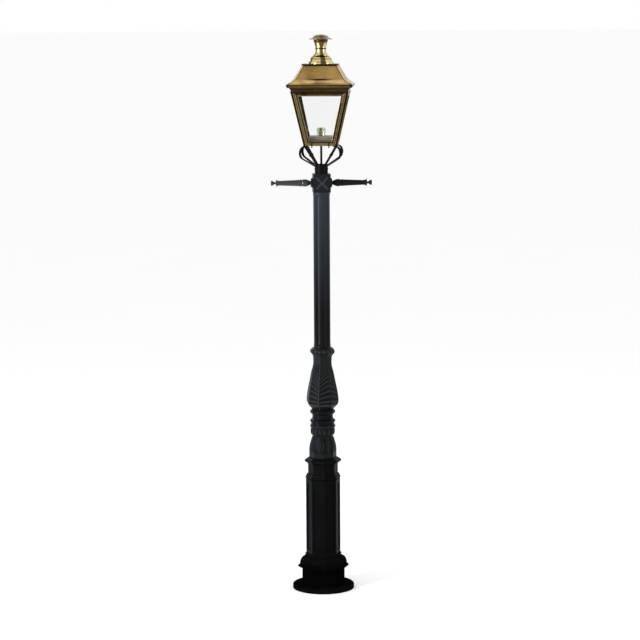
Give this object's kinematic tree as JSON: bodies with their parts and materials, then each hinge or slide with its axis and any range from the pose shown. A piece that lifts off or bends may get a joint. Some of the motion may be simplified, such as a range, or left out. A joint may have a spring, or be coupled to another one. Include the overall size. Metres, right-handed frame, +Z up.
{
  "type": "street lamp post",
  "caption": "Free-standing cast-iron lamp post with panelled foot, leaf-carved vase, fluted shaft, ladder bar, forged frog and tapering brass lantern with a glazed front door.",
  "frame": {"origin": "centre of the foot flange's underside, on the ground", "axes": "+Z up the post, the lantern's glazed door faces -Y, +X to the right of a viewer who faces the door"},
  "size_m": [0.5488, 0.356, 3.053],
  "materials": {
    "black_iron": "gloss black paint on cast iron",
    "black_steel": "gloss black paint on forged steel",
    "aged_brass": "darkened lacquered brass",
    "roof_brass": "satin brass sheet",
    "polished_brass": "polished spun brass",
    "bright_fittings": "bright brass",
    "steel_fittings": "plain steel",
    "tray_metal": "grey painted sheet",
    "porcelain": "glazed white porcelain",
    "clear_glass": "clear flat glass"
  },
  "bodies": {
    "post": {"base_flange": "black_iron", "plinth": "black_iron", "pedestal": "black_iron", "pedestal_cap": "black_iron", "bell": "black_iron", "lobed_drum": "black_iron", "ring_collar": "black_iron", "vase": "black_iron", "shaft": "black_iron", "ladder_block": "black_iron", "block_carving": "black_iron", "ladder_arm_left": "black_iron", "ladder_arm_right": "black_iron", "frog_socket": "black_steel", "frog_set_screws": "black_steel", "frog_legs": "black_steel", "frog_scrolls": "black_steel", "frog_nuts": "bright_fittings", "conduit_bush": "steel_fittings", "conduit": "black_steel", "conduit_nuts": "bright_fittings", "bottom_frame": "aged_brass", "floor_tray": "tray_metal", "post_front_left": "aged_brass", "post_front_right": "aged_brass", "post_back_left": "aged_brass", "post_back_right": "aged_brass", "frieze_frame": "aged_brass", "frame_left": "aged_brass", "frame_right": "aged_brass", "frame_back": "aged_brass", "glass_left": "clear_glass", "glass_right": "clear_glass", "glass_back": "clear_glass", "glass_clips": "bright_fittings", "hinge_lugs": "bright_fittings", "hinge_pins": "steel_fittings", "button_screws": "bright_fittings", "lampholder_base": "bright_fittings", "lampholder_ring": "porcelain", "lampholder_shell": "bright_fittings", "lampholder_contact": "steel_fittings", "eaves_skirt": "roof_brass", "roof_shell": "roof_brass", "hip_cappings": "roof_brass", "crown_plate": "roof_brass", "chimney_foot": "polished_brass", "chimney_neck": "polished_brass", "chimney_cap": "polished_brass", "cap_stays": "polished_brass"},
    "door": {"door_frame": "aged_brass", "door_glass": "clear_glass", "door_clips": "bright_fittings"},
    "left_button": {"turn_button_left": "bright_fittings"},
    "right_button": {"turn_button_right": "bright_fittings"}
  },
  "joints": [
    {"name": "door_hinge", "type": "hinge", "parent": "post", "child": "door", "pos_m": [0, -0.15544, 2.73586], "axis": [-1, 0, 0], "range_deg": [0, 85]},
    {"name": "left_button_turn", "type": "hinge", "parent": "post", "child": "left_button", "pos_m": [-0.046, -0.09242, 2.46783], "axis": [0, -0.9759, -0.2183], "range_deg": [-90, 90]},
    {"name": "right_button_turn", "type": "hinge", "parent": "post", "child": "right_button", "pos_m": [0.046, -0.09242, 2.46783], "axis": [0, -0.9759, -0.2183], "range_deg": [-90, 90]}
  ]
}
